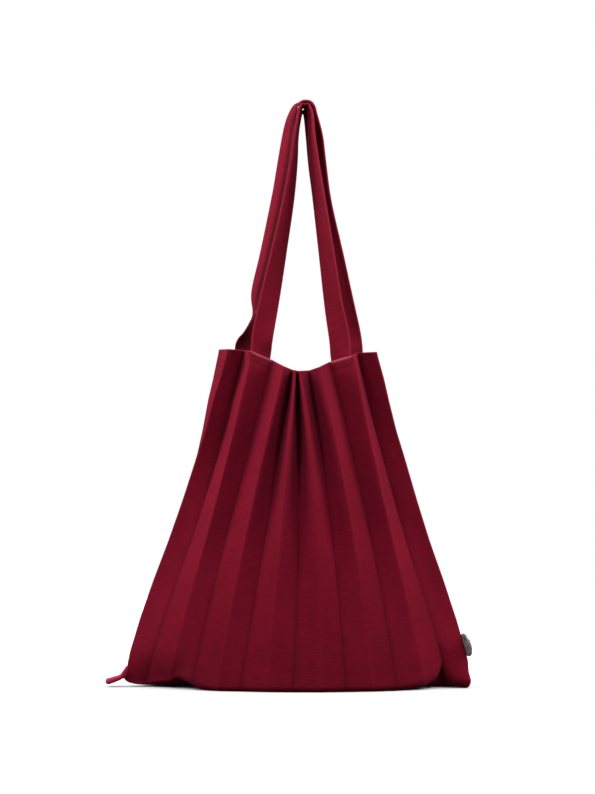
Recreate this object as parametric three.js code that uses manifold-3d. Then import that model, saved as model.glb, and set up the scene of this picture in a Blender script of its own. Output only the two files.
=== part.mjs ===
// A pleated knit shoulder bag, hung by its two handles.
// Millimetres. X runs to the right of the front, Y to the back, Z up.
// The origin is the point under the handles' top where a peg carries them.

import * as THREE from "three";
import { mergeVertices } from "three/addons/utils/BufferGeometryUtils.js";
import Module from "manifold-3d";

const wasm = await Module();
wasm.setup();

// Driving dimensions of the knitted body
const FACET = 26; // knitted width of one pleat facet
const WALL = 2; // thickness of the knit
const LEAST_PLEAT = 3; // depth that a pulled-flat pleat keeps
const EASE = { from: 0.05, by: 0.7 }; // level where the pleats begin to ease, and share lost by the base
const GAP = 0.3; // clearance between pieces that are sewn together
const BASE_Z = -578.5; // underside of the base
const RIM_SIDE_Z = -244; // rim at the two sides
const RIM_SAG = 20.5; // how much lower the rim hangs at the middle
const HEM_ROUND = 9; // height of the rounded turn from wall to base
const SIDE_STEPS = 11; // rings of facets from rim to base
const MITRE_REACH = 0.7; // longest inside corner of a fold, as a share of the shorter facet
const LEAST_BEVEL = 0.33; // a bend whose outside is narrower than this keeps one corner
const LEAST_MITRE = 0.04; // least sum of the two wall offsets in a fold shut on itself
const WELD = 0.001; // corners closer together than this are one

// The heights at which the fold table is read
const RIM_ROW_Z = -267;
const WAIST_ROW_Z = -411;
const FOOT_ROW_Z = -554;

// Front folds from left to right, ridge (R) and valley (V) in turn: the place
// across of each fold line at the three heights, and its hem's lift off the floor.
const FRONT_FOLDS = [
  { fold: "R1", rim: -82.5, waist: -127.5, foot: -176, lift: 6 },
  { fold: "V1", rim: -64.5, waist: -105, foot: -153.5, lift: 6 },
  { fold: "R2", rim: -56.5, waist: -92, foot: -130.5, lift: 7 },
  { fold: "V2", rim: -35, waist: -72.5, foot: -107.5, lift: 1 },
  { fold: "R3", rim: -21.5, waist: -54, foot: -82.5, lift: 0 },
  { fold: "V3", rim: -12, waist: -35.5, foot: -59.5, lift: 0 },
  { fold: "R4", rim: -9, waist: -21, foot: -35, lift: 0 },
  { fold: "V4", rim: -6.5, waist: -5.5, foot: -10, lift: 0 },
  { fold: "R5", rim: -4, waist: 12, foot: 16, lift: 0 },
  { fold: "V5", rim: 5.5, waist: 25.5, foot: 39.5, lift: 0 },
  { fold: "R6", rim: 16.5, waist: 45.5, foot: 66, lift: 0 },
  { fold: "V6", rim: 28.5, waist: 62, foot: 88, lift: 0 },
  { fold: "R7", rim: 52.5, waist: 83, foot: 116, lift: 2 },
  { fold: "V7", rim: 57.5, waist: 95.5, foot: 138, lift: 7 },
  { fold: "R8", rim: 77.5, waist: 119, foot: 163, lift: 2 },
];

// Back folds from left to right at the rim. The back panel is held wider open
// by its handle, and its folds run straight to even places along the foot.
const BACK_FOLDS = [
  { fold: "BV1", rim: -86 },
  { fold: "BR2", rim: -74 },
  { fold: "BV2", rim: -51 },
  { fold: "BR3", rim: -40 },
  { fold: "BV3", rim: -28 },
  { fold: "BR4", rim: -16 },
  { fold: "BV4", rim: -4 },
  { fold: "BR5", rim: 8 },
  { fold: "BV5", rim: 19 },
  { fold: "BR6", rim: 30 },
  { fold: "BV6", rim: 41 },
  { fold: "BR7", rim: 64 },
  { fold: "BV7", rim: 73 },
];
const BACK_EAR = { lift: 5, power: 6 }; // lift of the back hem, only near the side seams
const BASE_SHRINK = 0.95; // length of the base's middle line against the hem's

// The panels' middle surfaces, at the rim and at the foot. A higher power holds a
// panel flat across its middle and turns it in close to the side seams.
const SIDE_DEPTH = { rim: 22, foot: 4 }; // front to back at the side seams
const FRONT_BOW = { rim: 14, foot: 43, power: 2 }; // how far the front stands forward
const BACK_BOW = { rim: 20, foot: 43, power: 3 }; // how far the back stands backward

// Rings of the base: share of the way in to the middle line, share of the
// rounded turn that is behind it, and how far the wall has turned to lie flat.
const BASE_RINGS = [
  { inward: 0.05, down: 0.62, turned: 40 },
  { inward: 0.2, down: 1, turned: 90 },
  { inward: 0.6, down: 1, turned: 90 },
  { inward: 1, down: 1, turned: 90 },
];

// Handles: flat knitted straps
const STRAP_WIDTH = 21.5;
const STRAP_THICK = 2.6;
const STRAP_CORNER = 0.8; // bevel of the strap's edges
const STRAP_FOOT = 13; // length sewn inside the rim
const FOOT_CLEARANCE = 0.6; // from the slightly wound facet to the flat foot
const STRAP_STEPS = 4; // sections between two rows of a handle's table
const FRONT_STRAP_FACETS = [2, 11]; // left fold of the facets that carry the feet
const BACK_STRAP_FACETS = [2, 11];

// Middle line of each strap between its feet, left to right. The turn of its width
// is 0 flat to the bag on the left. Over the peg the front strap has turned a quarter
// one way, with its outer edges to the front, and the back strap the other way.
const FRONT_STRAP = [
  { x: -42.5, y: -22, z: -232, turn: -22 },
  { x: -36.5, y: -21, z: -197, turn: -24 },
  { x: -25.5, y: -18, z: -144, turn: -42 },
  { x: -17, y: -14, z: -90, turn: -56 },
  { x: -12.5, y: -10.5, z: -54, turn: -64 },
  { x: -9, y: -6.5, z: -27, turn: -74 },
  { x: -6.4, y: -2, z: -8, turn: -86 },
  { x: 0, y: 0, z: 1.3, turn: -90 },
  { x: 6.4, y: -2, z: -8, turn: -95 },
  { x: 8.4, y: -6, z: -27, turn: -113 },
  { x: 11.8, y: -11, z: -54, turn: -126 },
  { x: 16.3, y: -14, z: -90, turn: -134 },
  { x: 25, y: -18, z: -146, turn: -146 },
  { x: 32.5, y: -21, z: -197, turn: -158 },
  { x: 37.5, y: -22, z: -232, turn: -156 },
];
const BACK_STRAP = [
  { x: -55.5, y: 26, z: -228, turn: 42 },
  { x: -49, y: 26, z: -206, turn: 88 },
  { x: -47, y: 25, z: -180, turn: 108 },
  { x: -40, y: 22, z: -146, turn: 115 },
  { x: -27.6, y: 17, z: -90, turn: 115 },
  { x: -22, y: 13.5, z: -54, turn: 114 },
  { x: -18.6, y: 9, z: -27, turn: 110 },
  { x: -13.6, y: 3, z: -8, turn: 102 },
  { x: 0, y: 0, z: 4.8, turn: 90 },
  { x: 13, y: 3, z: -8, turn: 92 },
  { x: 16.6, y: 8, z: -27, turn: 96 },
  { x: 19, y: 13, z: -54, turn: 102 },
  { x: 22.6, y: 17, z: -90, turn: 112 },
  { x: 31, y: 22, z: -146, turn: 134 },
  { x: 40, y: 25, z: -197, turn: 158 },
  { x: 47.5, y: 26, z: -228, turn: 176 },
];

// Button loop at the left bottom corner: a narrow knitted tube
const CORD_RADIUS = 2.7;
const CORD_SIDES = 10;
const CORD_STEPS = 40;
const LOOP_Z = -563; // height on the left seam from which the loop is measured
const LOOP_LEAN = 10; // lean of the seam where the loop's ends are cut along it
const LOOP_CUT = 0.6; // from the seam's middle line out to the cut ends
const LOOP_PATH = [
  { out: -7, side: -3.2, rise: 9 },
  { out: -0.6, side: -3.2, rise: 0.5 },
  { out: 3.9, side: -3.3, rise: -4.8 },
  { out: 9.2, side: -3.4, rise: -7.2 },
  { out: 13.4, side: -2.7, rise: -8.9 },
  { out: 15.5, side: 0, rise: -10.2 },
  { out: 13.4, side: 2.7, rise: -10.8 },
  { out: 9, side: 3.4, rise: -9.6 },
  { out: 2.9, side: 3.3, rise: -7.3 },
  { out: -5, side: 3.2, rise: -4.6 },
];

// Button and its thread, near the bottom of the right side
const BUTTON_Z = -537;
const BUTTON_RADIUS = 12;
const BUTTON_SIDES = 28;
const BUTTON_DISH = 2.9; // thickness at the dished middle
const DRILL_LENGTH = 12;
const HOLE_RADIUS = 1.2;
const HOLE_PITCH = 1.9; // from the button's axis to a hole, each way
const THREAD_RADIUS = 0.75;
const SHANK_RADIUS = 1.8;
const SHANK_LENGTH = 0.6;
const FLANGE_RADIUS = 3.7; // knot of thread against the button's back
const FLANGE_THICK = 0.7;
const THREAD_SIDES = 10;
const BUTTON_BACK = SHANK_LENGTH + FLANGE_THICK + GAP; // from the seam to the button
const BUTTON_PROFILE = [
  { share: 0, height: 0 },
  { share: 0.84, height: 0 },
  { share: 0.96, height: 0.8 },
  { share: 1, height: 2 },
  { share: 0.965, height: 3.3 },
  { share: 0.87, height: 4.2 },
  { share: 0.74, height: 4.1 },
  { share: 0.62, height: 3.2 },
  { share: 0.5, height: BUTTON_DISH },
  { share: 0, height: BUTTON_DISH },
];

// Finishes of the pieces
const KNIT = { color: 0x6a1022, roughness: 0.9 };
const STRAP = { color: 0x7a1830, roughness: 0.88 };
const CORD = { color: 0x8c2038, roughness: 0.88 };
const HORN = { color: 0x4a4c4a, roughness: 0.35 };
const THREAD = { color: 0x5a1422, roughness: 0.8 };

const lerp = THREE.MathUtils.lerp;
const radians = THREE.MathUtils.degToRad;

// A closed body from loose triangles: shared corners merged, empty triangles dropped.
function closedBody(triangles) {
  const loose = new THREE.BufferGeometry().setFromPoints(triangles.flat());
  const merged = mergeVertices(loose, WELD);
  const index = [...merged.index.array];
  const kept = [];
  for (let i = 0; i < index.length; i += 3) {
    const [a, b, c] = index.slice(i, i + 3);
    if (a !== b && b !== c && c !== a) kept.push(a, b, c);
  }
  merged.setIndex(kept);
  merged.computeVertexNormals();
  return merged;
}

// The two triangles of a four-cornered patch, seen anticlockwise from outside.
function patch(a, b, c, d) {
  return [
    [a, b, c],
    [a, c, d],
  ];
}

// Knitted body

// Place across of a front fold at a height: a parabola through the table's three rows.
function frontX(row, z) {
  const u = (z - RIM_ROW_Z) / (FOOT_ROW_Z - RIM_ROW_Z);
  const w = (WAIST_ROW_Z - RIM_ROW_Z) / (FOOT_ROW_Z - RIM_ROW_Z);
  return (
    (row.rim * (u - w) * (u - 1)) / w +
    (row.waist * u * (u - 1)) / (w * (w - 1)) +
    (row.foot * u * (u - w)) / (1 - w)
  );
}

// Place across of a back fold: straight from its rim place to an even place at the foot.
function backX(index, z) {
  const left = FRONT_FOLDS[0];
  const right = FRONT_FOLDS.at(-1);
  const even = lerp(left.foot, right.foot, (index + 1) / (FRONT_FOLDS.length - 1));
  const u = (z - RIM_ROW_Z) / (FOOT_ROW_Z - RIM_ROW_Z);
  return lerp(BACK_FOLDS[index].rim, even, u);
}

// Share of the half width at which a fold stands on the rim, -1 to 1.
function rimShare(x) {
  const left = FRONT_FOLDS[0].rim;
  const right = FRONT_FOLDS.at(-1).rim;
  return THREE.MathUtils.clamp((2 * x - left - right) / (right - left), -1, 1);
}

function rimZ(x) {
  return RIM_SIDE_Z - (RIM_SAG * (1 + Math.cos(Math.PI * rimShare(x)))) / 2;
}

function backLift(index) {
  const share = (2 * (index + 1)) / (FRONT_FOLDS.length - 1) - 1;
  return BACK_EAR.lift * share ** BACK_EAR.power;
}

// One panel's folds at a level, 0 at the rim and 1 where the base turns under.
// Each facet has its knitted width, so where the folds are gathered across, the
// pleat between them is deep: depth² = facet² - spacing². It eases out downwards.
function panel(rows, level, bow, facing) {
  const points = rows.map((row) => {
    const z = lerp(row.rimZ, BASE_Z + WALL / 2 + row.lift + HEM_ROUND, level);
    return new THREE.Vector3(row.across(z), 0, z);
  });
  const left = points[0].x;
  const right = points.at(-1).x;
  const kept = 1 - EASE.by * THREE.MathUtils.smoothstep(level, EASE.from, 1);
  points.forEach((point, i) => {
    const before = points[Math.max(i - 1, 0)];
    const after = points[Math.min(i + 1, points.length - 1)];
    const facets = i === 0 || i === points.length - 1 ? 1 : 2;
    const spacing = Math.abs(after.x - before.x) / facets;
    const pleat = kept * Math.sqrt(Math.max(FACET ** 2 - spacing ** 2, LEAST_PLEAT ** 2));
    const share = Math.abs((2 * point.x - left - right) / (right - left));
    const middle =
      lerp(SIDE_DEPTH.rim, SIDE_DEPTH.foot, level) / 2 +
      lerp(bow.rim, bow.foot, 1 - (1 - level) ** 2) * (1 - Math.min(share, 1) ** bow.power);
    point.y = facing * (middle + (rows[i].ridge ? pleat : -pleat) / 2);
  });
  return points;
}

const frontRows = FRONT_FOLDS.map((row) => ({
  ridge: row.fold.startsWith("R"),
  across: (z) => frontX(row, z),
  rimZ: rimZ(row.rim),
  lift: row.lift,
}));
const sideRows = [frontRows[0], frontRows.at(-1)];
const backRows = [
  sideRows[0],
  ...BACK_FOLDS.map((row, i) => ({
    ridge: row.fold.startsWith("BR"),
    across: (z) => backX(i, z),
    rimZ: rimZ(row.rim),
    lift: backLift(i),
  })),
  sideRows[1],
];

function frontPanel(level) {
  return panel(frontRows, level, FRONT_BOW, -1);
}

function backPanel(level) {
  return panel(backRows, level, BACK_BOW, 1);
}

// All folds of the body at a level, anticlockwise seen from above.
function foldRing(level) {
  return [...frontPanel(level), ...backPanel(level).slice(1, -1).reverse()];
}

// The two corners that a fold has on one face of the wall, as steps from its
// middle line: two on the outside of the bend, one and the same on its inside.
function foldCorners(ring, i, side) {
  const at = ring[i];
  const before = ring[(i + ring.length - 1) % ring.length];
  const after = ring[(i + 1) % ring.length];
  const into = new THREE.Vector2(at.x - before.x, at.y - before.y);
  const out = new THREE.Vector2(after.x - at.x, after.y - at.y);
  const reach = MITRE_REACH * Math.min(into.length(), out.length());
  const bend = into.cross(out) * side;
  const first = new THREE.Vector2(into.y, -into.x).setLength((side * WALL) / 2);
  const second = new THREE.Vector2(out.y, -out.x).setLength((side * WALL) / 2);
  if (bend > 0 && first.distanceTo(second) > LEAST_BEVEL) return [first, second];
  const mitre = first.clone().add(second);
  const closeness = Math.max(mitre.lengthSq(), LEAST_MITRE ** 2);
  mitre.multiplyScalar(WALL ** 2 / 2 / closeness).clampLength(0, reach);
  return [mitre, mitre];
}

// One ring of corners on the outer (side 1) or inner (side -1) face of the wall.
function wallRing(ring, side, turned = 0) {
  const flat = Math.cos(radians(turned));
  const under = (-side * Math.sin(radians(turned)) * WALL) / 2;
  return ring.flatMap((fold, i) =>
    foldCorners(ring, i, side).map(
      (step) =>
        new THREE.Vector3(fold.x + flat * step.x, fold.y + flat * step.y, fold.z + under),
    ),
  );
}

// The folds carried under the base to the middle line, where front and back meet.
function baseRing({ inward, down }) {
  const front = frontPanel(1);
  const back = backPanel(1);
  const move = (hem, other) => {
    const middle = hem.clone().add(other).multiplyScalar(0.5).setY(0);
    middle.x *= BASE_SHRINK;
    return hem.clone().lerp(middle, inward).setZ(lerp(hem.z, middle.z, inward) - HEM_ROUND * down);
  };
  return [
    ...front.map((hem, i) => move(hem, back[i])),
    ...back
      .map((hem, i) => move(hem, front[i]))
      .slice(1, -1)
      .reverse(),
  ];
}

function bodyGeometry() {
  const levels = Array.from({ length: SIDE_STEPS + 1 }, (_, k) => k / SIDE_STEPS);
  const skin = (side) => [
    ...levels.map((level) => wallRing(foldRing(level), side)),
    ...BASE_RINGS.map((ring) => wallRing(baseRing(ring), side, ring.turned)),
  ];
  const outer = skin(1);
  const inner = skin(-1);
  const around = outer[0].length;
  const triangles = [];
  for (let c = 0; c < around; c++) {
    const n = (c + 1) % around;
    triangles.push(...patch(outer[0][c], outer[0][n], inner[0][n], inner[0][c]));
    for (let k = 0; k + 1 < outer.length; k++) {
      triangles.push(...patch(outer[k][c], outer[k + 1][c], outer[k + 1][n], outer[k][n]));
      triangles.push(...patch(inner[k][n], inner[k + 1][n], inner[k + 1][c], inner[k][c]));
    }
  }
  return closedBody(triangles);
}

// A fold's middle line at a height, for what is sewn to the body.
function foldAt(panelAt, rows, index, z) {
  const row = rows[index];
  const foot = BASE_Z + WALL / 2 + row.lift + HEM_ROUND;
  return panelAt((z - row.rimZ) / (foot - row.rimZ))[index];
}

// Handles

// A strap's foot inside the rim: flat on the inner face of the facet between two folds.
function strapFoot(panelAt, rows, index, z, handed) {
  const a = foldAt(panelAt, rows, index, z);
  const b = foldAt(panelAt, rows, index + 1, z);
  const along = b.clone().sub(a).setZ(0).normalize();
  const inward = new THREE.Vector3(-along.y, along.x, 0);
  if (panelAt === backPanel) inward.negate();
  const middle = a.clone().add(b).multiplyScalar(0.5);
  middle.addScaledVector(inward, WALL / 2 + FOOT_CLEARANCE + STRAP_THICK / 2);
  const width = along.clone().multiplyScalar(handed);
  const start = panelAt === backPanel ? -1 : 1;
  const turn = THREE.MathUtils.radToDeg(Math.atan2(-width.y, start * width.x));
  const backRight = start < 0 && handed > 0;
  return { x: middle.x, y: middle.y, z, turn: backRight ? turn + 360 : turn };
}

// Sections of a strap along its table, each a flat bevelled band.
function strapSections(rows, start) {
  const line = new THREE.CatmullRomCurve3(
    rows.map((row) => new THREE.Vector3(row.x, row.y, row.z)),
  );
  const turns = new THREE.SplineCurve(rows.map((row, i) => new THREE.Vector2(i, row.turn)));
  const count = (rows.length - 1) * STRAP_STEPS;
  const half = { w: STRAP_WIDTH / 2, t: STRAP_THICK / 2 };
  const inset = { w: half.w - STRAP_CORNER, t: half.t - STRAP_CORNER };
  return Array.from({ length: count + 1 }, (_, k) => {
    const at = line.getPoint(k / count);
    const tangent = line.getTangent(k / count);
    const turn = radians(turns.getPoint(k / count).y);
    const width = new THREE.Vector3(start * Math.cos(turn), -Math.sin(turn), 0);
    width.addScaledVector(tangent, -width.dot(tangent)).normalize();
    const face = width.clone().cross(tangent);
    const corner = (w, t) => at.clone().addScaledVector(width, w).addScaledVector(face, t);
    return [
      corner(-inset.w, half.t),
      corner(inset.w, half.t),
      corner(half.w, inset.t),
      corner(half.w, -inset.t),
      corner(inset.w, -half.t),
      corner(-inset.w, -half.t),
      corner(-half.w, -inset.t),
      corner(-half.w, inset.t),
    ];
  });
}

// A solid through sections that follow each other, closed at both ends.
function loft(sections) {
  const around = sections[0].length;
  const triangles = [];
  for (let k = 0; k + 1 < sections.length; k++) {
    const here = sections[k];
    const next = sections[k + 1];
    for (let c = 0; c < around; c++) {
      const n = (c + 1) % around;
      triangles.push(...patch(here[c], here[n], next[n], next[c]));
    }
  }
  const first = sections[0];
  const last = sections.at(-1);
  for (let c = 1; c + 1 < around; c++) {
    triangles.push([first[0], first[c + 1], first[c]]);
    triangles.push([last[0], last[c], last[c + 1]]);
  }
  return closedBody(triangles);
}

function handleGeometry(panelAt, rows, folds, table, start) {
  const [left, right] = folds;
  const rim = (index) => Math.max(rows[index].rimZ, rows[index + 1].rimZ);
  const foot = (index, z, handed) => strapFoot(panelAt, rows, index, z, handed);
  return loft(
    strapSections(
      [
        foot(left, rim(left) - STRAP_FOOT, start),
        foot(left, rim(left), start),
        ...table,
        foot(right, rim(right), -start),
        foot(right, rim(right) - STRAP_FOOT, -start),
      ],
      start,
    ),
  );
}

// Solids that are cut or joined

function solidOf(geometry) {
  const bare = geometry.index ? geometry.toNonIndexed() : geometry.clone();
  bare.deleteAttribute("normal");
  bare.deleteAttribute("uv");
  const merged = mergeVertices(bare);
  return new wasm.Manifold(
    new wasm.Mesh({
      numProp: 3,
      vertProperties: merged.attributes.position.array,
      triVerts: new Uint32Array(merged.index.array),
    }),
  );
}

function geometryOf(solid) {
  const mesh = solid.getMesh();
  const geometry = new THREE.BufferGeometry();
  geometry.setAttribute("position", new THREE.BufferAttribute(mesh.vertProperties, 3));
  geometry.setIndex(new THREE.BufferAttribute(mesh.triVerts, 1));
  geometry.computeVertexNormals();
  return geometry;
}

// Button loop: a tube that leaves the left seam, turns at its tip and comes back
// beside itself, both ends cut along the seam.
function loopGeometry() {
  const seat = foldAt(frontPanel, frontRows, 0, LOOP_Z);
  const path = new THREE.CatmullRomCurve3(
    LOOP_PATH.map(
      ({ out, side, rise }) => new THREE.Vector3(seat.x - out, seat.y + side, seat.z + rise),
    ),
  );
  const section = new THREE.Shape();
  section.absarc(0, 0, CORD_RADIUS, 0, 2 * Math.PI);
  const tube = new THREE.ExtrudeGeometry(section, {
    steps: CORD_STEPS,
    curveSegments: CORD_SIDES / 2,
    extrudePath: path,
    bevelEnabled: false,
  });
  const lean = radians(LOOP_LEAN);
  const outward = new THREE.Vector3(-Math.cos(lean), 0, Math.sin(lean));
  const cut = outward.dot(seat) + LOOP_CUT;
  return geometryOf(solidOf(tube).trimByPlane(outward.toArray(), cut));
}

// Button

// A round bar of thread or a drill: along Z, or along X where it lies across the button.
function bar(radius, length, { x = 0, y = 0, z = 0, across = false }) {
  const geometry = new THREE.CylinderGeometry(radius, radius, length, THREAD_SIDES);
  if (across) geometry.rotateZ(Math.PI / 2);
  else geometry.rotateX(Math.PI / 2);
  return solidOf(geometry.translate(x, y, z));
}

const HOLES = [
  { x: HOLE_PITCH, y: HOLE_PITCH },
  { x: -HOLE_PITCH, y: HOLE_PITCH },
  { x: HOLE_PITCH, y: -HOLE_PITCH },
  { x: -HOLE_PITCH, y: -HOLE_PITCH },
];

// The button, its back at z = 0: a rounded rim round a dished middle with four holes.
function buttonGeometry() {
  const profile = BUTTON_PROFILE.map(
    ({ share, height }) => new THREE.Vector2(share * BUTTON_RADIUS, height),
  );
  const turned = new THREE.LatheGeometry(profile, BUTTON_SIDES).rotateX(Math.PI / 2);
  const drilled = HOLES.reduce(
    (disc, hole) => disc.subtract(bar(HOLE_RADIUS, DRILL_LENGTH, hole)),
    solidOf(turned),
  );
  return geometryOf(drilled);
}

// The thread, from the seam at z = 0: a shank, a knot behind the button, four legs
// through its holes and two bars across its face.
function threadGeometry() {
  const crossing = BUTTON_BACK + BUTTON_DISH + GAP + THREAD_RADIUS;
  const shank = bar(SHANK_RADIUS, SHANK_LENGTH + FLANGE_THICK / 2, {
    z: (SHANK_LENGTH + FLANGE_THICK / 2) / 2,
  });
  const flange = bar(FLANGE_RADIUS, FLANGE_THICK, { z: SHANK_LENGTH + FLANGE_THICK / 2 });
  const legLength = crossing - SHANK_LENGTH - FLANGE_THICK / 2;
  const legs = HOLES.map(({ x, y }) =>
    bar(THREAD_RADIUS, legLength, { x, y, z: crossing - legLength / 2 }),
  );
  const bars = [HOLE_PITCH, -HOLE_PITCH].map((y) =>
    bar(THREAD_RADIUS, 2 * (HOLE_PITCH + THREAD_RADIUS), { y, z: crossing, across: true }),
  );
  return geometryOf([flange, ...legs, ...bars].reduce((all, piece) => all.add(piece), shank));
}

// Assembly

function piece(name, geometry, finish) {
  const material = new THREE.MeshStandardMaterial({ ...finish, metalness: 0 });
  const mesh = new THREE.Mesh(geometry, material);
  mesh.name = name;
  return mesh;
}

const frontStrap = handleGeometry(frontPanel, frontRows, FRONT_STRAP_FACETS, FRONT_STRAP, 1);
const backStrap = handleGeometry(backPanel, backRows, BACK_STRAP_FACETS, BACK_STRAP, -1);
const bag = new THREE.Group();
bag.add(
  piece("bag_body", bodyGeometry(), KNIT),
  piece("front_handle", frontStrap, STRAP),
  piece("back_handle", backStrap, STRAP),
  piece("button_loop", loopGeometry(), CORD),
);

// The button stands square to the right side seam, which leans out towards the base.
const seam = FRONT_FOLDS.length - 1;
const seat = foldAt(frontPanel, frontRows, seam, BUTTON_Z);
const above = foldAt(frontPanel, frontRows, seam, BUTTON_Z + BUTTON_RADIUS);
const below = foldAt(frontPanel, frontRows, seam, BUTTON_Z - BUTTON_RADIUS);
const lean = Math.atan2(below.x - above.x, above.z - below.z);
const outward = new THREE.Vector3(Math.cos(lean), 0, Math.sin(lean));
const fastening = new THREE.Group();
fastening.rotation.y = Math.PI / 2 - lean;
fastening.position.copy(seat).addScaledVector(outward, WALL / 2);
const button = piece("button", buttonGeometry(), HORN);
button.position.z = BUTTON_BACK;
fastening.add(button, piece("button_thread", threadGeometry(), THREAD));
bag.add(fastening);

export default bag;
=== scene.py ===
import bpy
import numpy as np
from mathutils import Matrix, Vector


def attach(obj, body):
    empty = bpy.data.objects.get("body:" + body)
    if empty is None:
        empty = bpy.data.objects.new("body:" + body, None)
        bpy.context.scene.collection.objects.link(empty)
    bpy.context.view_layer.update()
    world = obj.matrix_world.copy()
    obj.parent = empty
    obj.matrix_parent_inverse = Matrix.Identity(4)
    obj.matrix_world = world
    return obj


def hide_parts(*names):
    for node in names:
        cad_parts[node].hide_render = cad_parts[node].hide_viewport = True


# A pleated knit shoulder bag, hung by its two handles. Metres, +Z up, and the origin
# is the point under the handles' top that carries the bag.
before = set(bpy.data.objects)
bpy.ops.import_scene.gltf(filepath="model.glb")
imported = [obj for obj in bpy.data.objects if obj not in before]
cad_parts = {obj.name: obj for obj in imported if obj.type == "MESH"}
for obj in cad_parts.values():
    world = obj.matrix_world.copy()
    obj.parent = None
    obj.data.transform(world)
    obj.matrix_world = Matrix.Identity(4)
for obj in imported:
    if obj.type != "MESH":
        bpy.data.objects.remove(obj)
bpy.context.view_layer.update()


# Studio. The bag hangs with its base just on a pale table in front of white paper.
# A tall soft light stands at each side, a weaker one at each front corner, and one hangs
# overhead.

CAMERA_PLACE = Vector((-0.0065, -2.2, -0.289))
SENSOR_MM = 36
PIXELS_PER_METRE = 1000  # on the upright plane through the hanging point
IMAGE_HEIGHT = 794

camera_data = bpy.data.cameras.new("camera")
camera_data.sensor_width = SENSOR_MM
camera_data.lens = SENSOR_MM * -CAMERA_PLACE.y * PIXELS_PER_METRE / IMAGE_HEIGHT
camera = bpy.data.objects.new("camera", camera_data)
camera.location = CAMERA_PLACE
camera.rotation_euler = (np.pi / 2, 0, 0)
bpy.context.collection.objects.link(camera)
bpy.context.scene.camera = camera
bpy.context.scene.view_settings.view_transform = "Standard"


def add_node(tree, kind, inputs=None, **settings):
    """One node of a tree: its settings, then each input as a value or a link from an output."""
    made = tree.nodes.new(kind)
    for key, value in settings.items():
        setattr(made, key, value)
    for key, value in (inputs or {}).items():
        if isinstance(value, bpy.types.NodeSocket):
            tree.links.new(value, made.inputs[key])
        else:
            made.inputs[key].default_value = value
    return made


PAPER_GLOW = 1.0  # as the camera sees the paper
ROOM_GLOW = 0.15  # as the paper lights the bag

world = bpy.data.worlds.new("white_paper")
world.use_nodes = True
world.node_tree.nodes.clear()
tree = world.node_tree
seen = add_node(tree, "ShaderNodeLightPath").outputs["Is Camera Ray"]
glow = add_node(
    tree, "ShaderNodeMix", {0: seen, 2: ROOM_GLOW, 3: PAPER_GLOW}, data_type="FLOAT"
).outputs[0]
paper = add_node(tree, "ShaderNodeBackground", {"Color": (1, 1, 1, 1), "Strength": glow})
add_node(tree, "ShaderNodeOutputWorld", {"Surface": paper.outputs[0]})
bpy.context.scene.world = world

LIGHT_AIM = Vector((0, 0, -0.2))
LIGHTS = {
    # name: place, width, height, power in watts
    "left_softbox": ((-1.25, -0.25, 0.4), 0.5, 1.1, 17.6),
    "right_softbox": ((1.25, -0.25, 0.4), 0.5, 1.1, 15.5),
    "front_left_softbox": ((-0.8, -1.0, 0.7), 0.4, 0.7, 9.2),
    "front_right_softbox": ((0.8, -1.0, 0.7), 0.4, 0.7, 8.2),
    "overhead_softbox": ((0, 0.1, 1.3), 2.4, 2.0, 48),
}
for name, (place, width, height, power) in LIGHTS.items():
    light_data = bpy.data.lights.new(name, "AREA")
    light_data.shape = "RECTANGLE"
    light_data.size = width
    light_data.size_y = height
    light_data.energy = power
    light = bpy.data.objects.new(name, light_data)
    light.location = place
    light.rotation_euler = (LIGHT_AIM - Vector(place)).to_track_quat("-Z", "Y").to_euler()
    bpy.context.collection.objects.link(light)

FLOOR_Z = -0.5787
FLOOR_HALF = 1.0
FLOOR_NEAR = (0.66, 0.66, 0.66, 1)  # as the camera sees the table under the bag
FLOOR_FAR_PAINTED_LIGHTER = (0.98, 0.98, 0.98, 1)  # and further back, where less light falls on it, painted lighter to stand in for the missing light
FLOOR_BLEND = (0.0, 0.15)  # distance back over which the one becomes the other
FLOOR_BOUNCE = (0.05, 0.05, 0.05, 1)  # as the table lights the bag
FLOOR_FINISH = {"Roughness": 0.8}

floor_mesh = bpy.data.meshes.new("table_top")
floor_corners = [(-1, -1), (1, -1), (1, 1), (-1, 1)]
floor_mesh.from_pydata(
    [(x * FLOOR_HALF, y * FLOOR_HALF, FLOOR_Z) for x, y in floor_corners], [], [(0, 1, 2, 3)]
)
floor = bpy.data.objects.new("table_top", floor_mesh)
bpy.context.collection.objects.link(floor)


def new_material(name, finish):
    """A material with its node tree and shader. finish gives the shader's constant inputs."""
    material = bpy.data.materials.new(name)
    material.use_nodes = True
    shader = material.node_tree.nodes["Principled BSDF"]
    for key, value in finish.items():
        shader.inputs[key].default_value = value
    return material, material.node_tree, shader


def add_mix(tree, share, first, second, blend="MIX"):
    """Two colours mixed by a share, as an output."""
    mixed = add_node(
        tree, "ShaderNodeMix", {0: share, 6: first, 7: second}, data_type="RGBA", blend_type=blend
    )
    return mixed.outputs[2]


def add_range(tree, value, span, to=(0, 1)):
    """A span of a value stretched to another span and held at its ends, as an output."""
    ends = {"From Min": span[0], "From Max": span[1], "To Min": to[0], "To Max": to[1]}
    return add_node(tree, "ShaderNodeMapRange", {"Value": value, **ends}).outputs[0]


pale_table, tree, shader = new_material("pale_table", FLOOR_FINISH)
seen = add_node(tree, "ShaderNodeLightPath").outputs["Is Camera Ray"]
spot = add_node(tree, "ShaderNodeTexCoord").outputs["Object"]
back = add_node(tree, "ShaderNodeSeparateXYZ", {0: spot}).outputs["Y"]
# Painted light: the table further back is painted lighter, where less light falls on it.
table_white = add_mix(tree, add_range(tree, back, FLOOR_BLEND), FLOOR_NEAR, FLOOR_FAR_PAINTED_LIGHTER)
table_white = add_mix(tree, seen, FLOOR_BOUNCE, table_white)
tree.links.new(table_white, shader.inputs["Base Color"])
floor_mesh.materials.append(pale_table)


# Pleated body. One panel of fine knit in wine red, pressed into sharp accordion pleats,
# folded under at the base and closed along both sides. The cast-off edge is the rim.

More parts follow.
